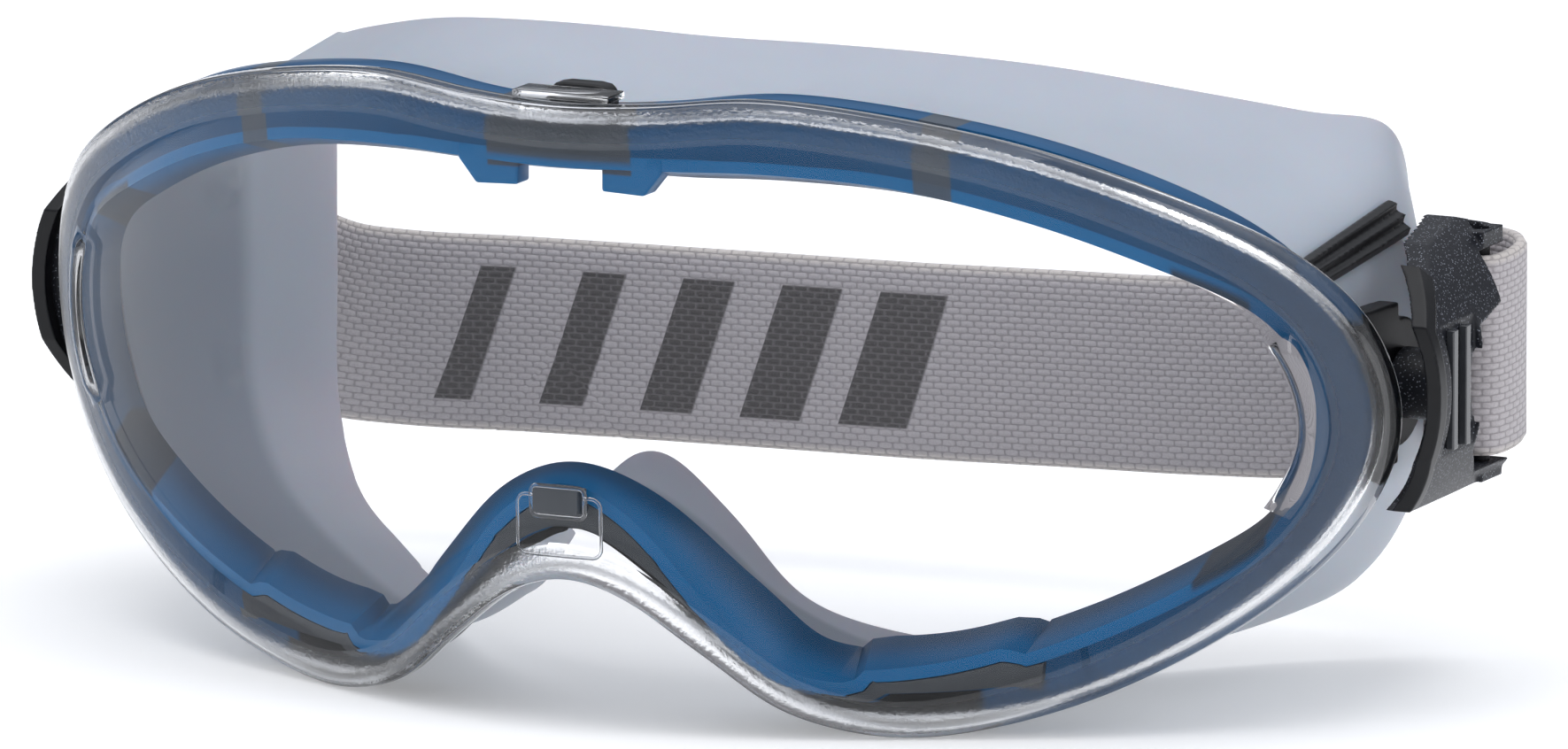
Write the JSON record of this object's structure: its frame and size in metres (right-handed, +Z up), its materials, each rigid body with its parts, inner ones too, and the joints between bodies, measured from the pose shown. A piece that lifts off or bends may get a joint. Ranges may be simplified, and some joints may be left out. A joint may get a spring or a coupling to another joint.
{
  "type": "safety goggles",
  "caption": "Wrap-around safety goggles: clear lens on a hard frame with a soft face seal, and an elastic headband on two pivoting side clips with an adjuster.",
  "frame": {"origin": "under the middle of the whole goggles, at the height of the lowest edge of the lens, as worn", "axes": "+X towards the wearer's left, +Y from the lens back to the head, +Z up"},
  "size_m": [0.1912, 0.1093, 0.0801],
  "materials": {
    "clear_lens": "clear polycarbonate, polished",
    "blue_frame": "translucent blue moulded plastic, satin gloss",
    "grey_soft_inlay": "dark grey soft overmould, satin",
    "grey_seal": "light grey soft elastomer, matt satin",
    "black_soft": "black soft elastomer, satin",
    "black_plastic": "black moulded plastic",
    "speckled_clip": "charcoal moulded plastic with fine sparkle",
    "gloss_rib": "glossy charcoal plastic",
    "pin_steel": "plain steel",
    "knit_band": "knitted warm grey elastic webbing",
    "thread": "grey sewing thread"
  },
  "bodies": {
    "goggles": {"frame": "blue_frame", "frame_inlay": "grey_soft_inlay", "nose_catch": "grey_soft_inlay", "face_seal": "grey_seal", "side_strip_left": "black_soft", "side_strip_right": "black_soft", "side_bracket_left": "black_plastic", "side_bracket_right": "black_plastic", "pivot_pin_left": "pin_steel", "pivot_pin_right": "pin_steel"},
    "lens": {"lens": "clear_lens"},
    "catch": {"top_catch": "black_soft"},
    "headband": {"strap_clip_left": "speckled_clip", "strap_clip_right": "speckled_clip", "clip_edge_left": "black_soft", "clip_edge_right": "black_soft", "clip_rib_left": "gloss_rib", "clip_rib_right": "gloss_rib", "strap_bar_left": "black_plastic", "strap_bar_right": "black_plastic", "headband": "knit_band", "band_tail": "knit_band", "band_stitching": "thread"},
    "adjuster": {"adjuster": "black_plastic"}
  },
  "joints": [
    {"name": "headband_tilt", "type": "hinge", "parent": "goggles", "child": "headband", "pos_m": [0, 0.00624, 0.0409], "axis": [1, 0, 0], "range_deg": [-15, 15]},
    {"name": "adjuster_slide", "type": "slide", "parent": "headband", "child": "adjuster", "axis": [-0.8516, 0.2555, -0.4577], "range_m": [0, 0.005]},
    {"name": "catch_press", "type": "slide", "parent": "goggles", "child": "catch", "axis": [0, 0, -1], "range_m": [0, 0.0015], "stiffness_N_per_m": 400},
    {"name": "lens_release", "type": "slide", "parent": "goggles", "child": "lens", "axis": [0, -1, 0], "range_m": [0, 0.012]}
  ]
}
